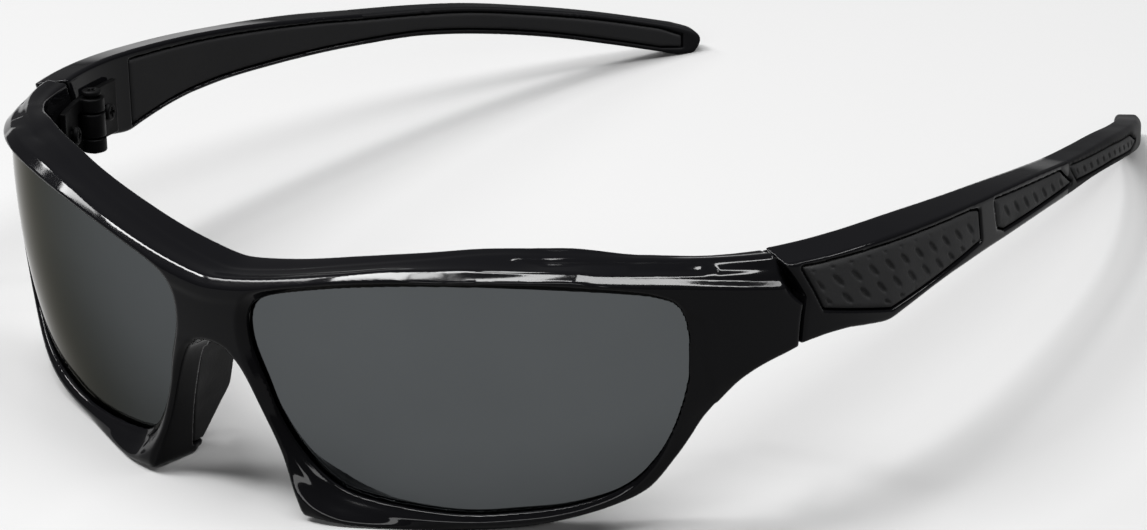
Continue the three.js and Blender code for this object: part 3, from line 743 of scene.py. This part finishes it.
def material(name, color, roughness, metallic=0.0, specular=0.5, noise=None, bump=None, tint=None,
             mottle=None):
    """A Principled material with mottled roughness and colour, and a fine grain.

    noise is (scale, lowest, highest roughness), mottle is (scale, other colour) and bump is
    (node type, scale, strength, distance in metres).
    """
    m = bpy.data.materials.new(name)
    m.use_nodes = True
    nodes, links = m.node_tree.nodes, m.node_tree.links
    shader = nodes["Principled BSDF"]
    shader.inputs["Base Color"].default_value = (*color, 1)
    shader.inputs["Roughness"].default_value = roughness
    shader.inputs["Metallic"].default_value = metallic
    shader.inputs["Specular IOR Level"].default_value = specular
    if tint:
        shader.inputs["Specular Tint"].default_value = (*tint, 1)
    place = nodes.new("ShaderNodeTexCoord")

    def texture(kind, scale, detail=3.0):
        t = nodes.new(kind)
        t.inputs["Scale"].default_value = scale
        if "Detail" in t.inputs:
            t.inputs["Detail"].default_value = detail
        links.new(place.outputs["Object"], t.inputs["Vector"])
        return t

    if noise:
        scale, low, high = noise
        t = texture("ShaderNodeTexNoise", scale)
        ramp = nodes.new("ShaderNodeMapRange")
        ramp.inputs["To Min"].default_value = low
        ramp.inputs["To Max"].default_value = high
        ramp.inputs["From Min"].default_value = 0.35
        ramp.inputs["From Max"].default_value = 0.65
        links.new(t.outputs["Fac"], ramp.inputs["Value"])
        links.new(ramp.outputs["Result"], shader.inputs["Roughness"])
    if mottle:
        scale, other = mottle
        t = texture("ShaderNodeTexNoise", scale, 5.0)
        mix = nodes.new("ShaderNodeMix")
        mix.data_type = "RGBA"
        mix.inputs["A"].default_value = (*color, 1)
        mix.inputs["B"].default_value = (*other, 1)
        links.new(t.outputs["Fac"], mix.inputs["Factor"])
        links.new(mix.outputs["Result"], shader.inputs["Base Color"])
    if bump:
        kind, scale, strength, distance = bump
        t = texture(kind, scale, 4.0)
        b = nodes.new("ShaderNodeBump")
        b.inputs["Strength"].default_value = strength
        b.inputs["Distance"].default_value = distance
        links.new(t.outputs["Distance" if kind == "ShaderNodeTexVoronoi" else "Fac"], b.inputs["Height"])
        links.new(b.outputs["Normal"], shader.inputs["Normal"])
    return m


gloss_black = material("gloss_black", (0.001, 0.001, 0.0012), 0.07, specular=0.065,
                       noise=(60, 0.05, 0.09), bump=("ShaderNodeTexNoise", 900, 0.03, 0.0001),
                       mottle=(40, (0.0015, 0.0015, 0.0017)))
satin_tip = material("satin_tip", (0.0012, 0.0012, 0.0014), 0.5, specular=0.03,
                     noise=(60, 0.45, 0.6), bump=("ShaderNodeTexNoise", 900, 0.05, 0.0001),
                     mottle=(40, (0.0018, 0.0018, 0.002)))
# The lenses' colour mottle is a painted reflection: soft lighter and darker patches across the mirror coating.
mirror_smoke = material("mirror_smoke", (0.058, 0.063, 0.066), 0.03, metallic=1.0, tint=(0.42, 0.41, 0.385),
                        noise=(35, 0.02, 0.05), mottle=(16, (0.104, 0.111, 0.115)))
smoke_back = material("smoke_back", (0.006, 0.0062, 0.0065), 0.06, specular=0.5, noise=(35, 0.04, 0.08),
                      mottle=(25, (0.008, 0.0082, 0.0085)))
soft_black = material("soft_black", (0.002, 0.002, 0.0022), 0.55, specular=0.08, noise=(120, 0.5, 0.66),
                      bump=("ShaderNodeTexNoise", 2600, 0.25, 0.00012), mottle=(70, (0.0034, 0.0034, 0.0036)))
liner_black = material("liner_black", (0.002, 0.002, 0.0022), 0.6, specular=0.08, noise=(90, 0.55, 0.7),
                       bump=("ShaderNodeTexNoise", 3200, 0.2, 0.0001), mottle=(50, (0.0032, 0.0032, 0.0034)))
inlay_grey = material("inlay_grey", (0.0045, 0.0046, 0.0048), 0.6, specular=0.09, noise=(150, 0.52, 0.7),
                      bump=("ShaderNodeTexNoise", 2800, 0.3, 0.00014), mottle=(90, (0.0065, 0.0065, 0.0067)))
# Black-oxide steel, with its colour darkened further as painted shade so that the hinge tucked between endpiece
# and temple stays as dark as shade.
hinge_black_painted_shade = material("hinge_black_painted_shade", (0.0012, 0.0012, 0.0013), 0.5, metallic=0.7, specular=0.04,
                       noise=(300, 0.42, 0.6), bump=("ShaderNodeTexNoise", 3000, 0.1, 0.00005),
                       mottle=(200, (0.002, 0.002, 0.0021)))

# ---------------------------------------------------------------- building

# Cell sizes of the meshes.
MOULDING_CELL = 0.25
LENS_CELL = 0.4
PAD_CELL = 0.25
TEMPLE_CELL = 0.3
LINER_CELL = 0.35
INLAY_CELL = 0.16
LEAF_CELL = 0.16
SCREW_CELL = 0.1
FACING_OUT = -0.3  # faces of a lens in front of this depth are its mirror side
INLAY_SPANS = {"front": (80, 121), "middle": (121, 151), "rear": (147, 191)}

points, quads = surface_net(front_field, (-82, -34, -13), (82, 8, 6), MOULDING_CELL, relax=4)
new_object("front_moulding", bent(points), quads, [gloss_black], "front", ["front_frame"])

points, quads = surface_net(lens_field, (5, -31, -3), (67, 5, 1), LENS_CELL)
mirror_side = points[quads].mean(1)[:, 2] > FACING_OUT
both_sides("mirror_lens", "lens", bent(points), quads, [smoke_back, mirror_smoke], FRONT, mirror_side)

points, quads = surface_net(pad_field, (0, -35, -13), (24, -11, -1), PAD_CELL)
both_sides("soft_nose_pad", "nose_pad", bent(points), quads, [soft_black], FRONT)

points, quads = surface_net(temple_field, (76, -22, -7), (217, 6, 1), TEMPLE_CELL)
satin = points[quads].mean(1)[:, 0] > SATIN_FROM
both_sides("temple_moulding", "temple", bent(points), quads, [gloss_black, satin_tip], ARMS, satin)

points, quads = surface_net(liner_field, (95, -20, -7), (213, 4, -2), LINER_CELL)
both_sides("soft_liner", "temple_liner", bent(points), quads, [liner_black], ARMS)

for part, (start, stop) in INLAY_SPANS.items():
    points, quads = surface_net(inlay_field(part), (start, -14, -2), (stop, 5, 1), INLAY_CELL)
    both_sides(f"grip_inlay_{part}", f"inlay_{part}", bent(points), quads, [inlay_grey], ARMS)

for name, node, leaf, knuckles, bodies in (
    ("frame_leaf", "frame_hinge", FRAME_LEAF, FRAME_KNUCKLES, FRONT),
    ("temple_leaf", "temple_hinge", TEMPLE_LEAF, [TEMPLE_KNUCKLE], ARMS),
):
    low = (min(leaf[0], PIN_S - 3) - 1, -8, -11)
    high = (max(leaf[1], PIN_S + 3) + 1, 3, -4)
    points, quads = surface_net(leaf_field(leaf, knuckles), low, high, LEAF_CELL)
    both_sides(name, node, bent(points), quads, [hinge_black_painted_shade], bodies)

for name, leaf, bodies in (("frame_leaf_screw", FRAME_LEAF, FRONT), ("temple_leaf_screw", TEMPLE_LEAF, ARMS)):
    middle = (leaf[0] + leaf[1]) / 2
    low, high = (middle - 2, -5, -9), (middle + 2, -1, -2)
    points, quads = surface_net(leaf_screw_field(leaf), low, high, SCREW_CELL)
    both_sides(f"cross_head_{name}", name, bent(points), quads, [hinge_black_painted_shade], bodies)

points, quads = surface_net(hinge_screw_field, (PIN_S - 2.5, -8, -10), (PIN_S + 2.5, 3, -5), SCREW_CELL)
both_sides("cross_head_hinge_screw", "hinge_screw", bent(points), quads, [hinge_black_painted_shade], FRONT)

# ---------------------------------------------------------------- camera, light and floor

VIEW_AZIMUTH, VIEW_ELEVATION, VIEW_ROLL = np.radians([37.69, 20.44, -0.98])
VIEW_DISTANCE = 471.1
VIEW_SHIFT = (46.36, -0.04)
IMAGE_WIDTH = 1147
FOCAL_IN_PIXELS = 3697
SENSOR_WIDTH = 36


def tilt(v):
    """Turns a direction with the glasses as they lean on the table."""
    c, t = np.cos(TABLE_TILT), np.sin(TABLE_TILT)
    return np.array([v[0], v[1] * c + v[2] * t, v[2] * c - v[1] * t])


sa, ca = np.sin(VIEW_AZIMUTH), np.cos(VIEW_AZIMUTH)
se, ce = np.sin(VIEW_ELEVATION), np.cos(VIEW_ELEVATION)
back = np.array([sa * ce, -ca * ce, se])
level = np.array([ca, sa, 0])
upright = np.cross(back, level)
right = np.cos(VIEW_ROLL) * level + np.sin(VIEW_ROLL) * upright
up = np.cos(VIEW_ROLL) * upright - np.sin(VIEW_ROLL) * level
position = back * VIEW_DISTANCE + right * VIEW_SHIFT[0] + up * VIEW_SHIFT[1]
right, up, back = tilt(right), tilt(up), tilt(back)
position = (tilt(position) + (0, ORIGIN_Y, REST_HEIGHT)) / 1000

camera = bpy.data.objects.new("camera", bpy.data.cameras.new("camera"))
bpy.context.scene.collection.objects.link(camera)
matrix = np.eye(4)
matrix[:3, 0], matrix[:3, 1], matrix[:3, 2], matrix[:3, 3] = right, up, back, position
camera.matrix_world = Matrix(matrix)
camera.data.lens = FOCAL_IN_PIXELS / IMAGE_WIDTH * SENSOR_WIDTH
camera.data.sensor_width = SENSOR_WIDTH
camera.data.clip_start = 0.01
bpy.context.scene.camera = camera


def lamp_place(elevation, azimuth):
    """A point on the lamps' dome; azimuth 0 is in front of the lenses and 90 is on the wearer's left."""
    e, a = np.radians([elevation, azimuth])
    return LAMP_DISTANCE * np.array([np.cos(e) * np.sin(a), -np.cos(e) * np.cos(a), np.sin(e)])


def soft_box(name, start, stop, width, radiance):
    """A rectangular light whose long middle line runs between two places on the dome."""
    start, stop = lamp_place(*start), lamp_place(*stop)
    middle = (start + stop) / 2
    length = np.linalg.norm(stop - start)
    across = (stop - start) / length
    outwards = middle - across * (middle @ across)
    outwards /= np.linalg.norm(outwards)
    light = bpy.data.lights.new(name, "AREA")
    light.shape = "RECTANGLE"
    light.size, light.size_y = length, width
    light.energy = radiance * np.pi * length * width
    lamp = bpy.data.objects.new(name, light)
    bpy.context.scene.collection.objects.link(lamp)
    turn = np.eye(4)
    turn[:3, 0], turn[:3, 1], turn[:3, 2], turn[:3, 3] = across, np.cross(outwards, across), outwards, middle
    lamp.matrix_world = Matrix(turn)


LAMP_DISTANCE = 1.15
WORLD_LIGHT = 0.1
FLOOR_HALF = 6

soft_box("key", (66, -38), (49, -66), 0.2, 125)
soft_box("left_low", (46, -69), (30, -86), 0.16, 50)
soft_box("top", (65, -35), (70, 58), 0.09, 100)
soft_box("left_high", (74, -38), (66, -132), 0.14, 60)
soft_box("right_high", (71, 72), (42, 114), 0.12, 85)
soft_box("right_back", (42, 118), (38, 152), 0.1, 40)
soft_box("front_low", (24, 0), (24, 50), 0.2, 18)

world = bpy.data.worlds.new("studio")
bpy.context.scene.world = world
world.use_nodes = True
world.node_tree.nodes["Background"].inputs["Color"].default_value = (1, 1, 1, 1)
world.node_tree.nodes["Background"].inputs["Strength"].default_value = WORLD_LIGHT

floor_mesh = bpy.data.meshes.new("floor")
floor_corners = [(x * FLOOR_HALF, y * FLOOR_HALF, 0) for x, y in ((-1, -1), (1, -1), (1, 1), (-1, 1))]
floor_mesh.from_pydata(floor_corners, [], [(0, 1, 2, 3)])
floor = bpy.data.objects.new("floor", floor_mesh)
bpy.context.scene.collection.objects.link(floor)
floor_mesh.materials.append(material("pale_floor", (0.118, 0.118, 0.118), 0.8, specular=0.1,
                                     mottle=(6, (0.115, 0.115, 0.115))))

bpy.context.scene.view_settings.view_transform = "Standard"
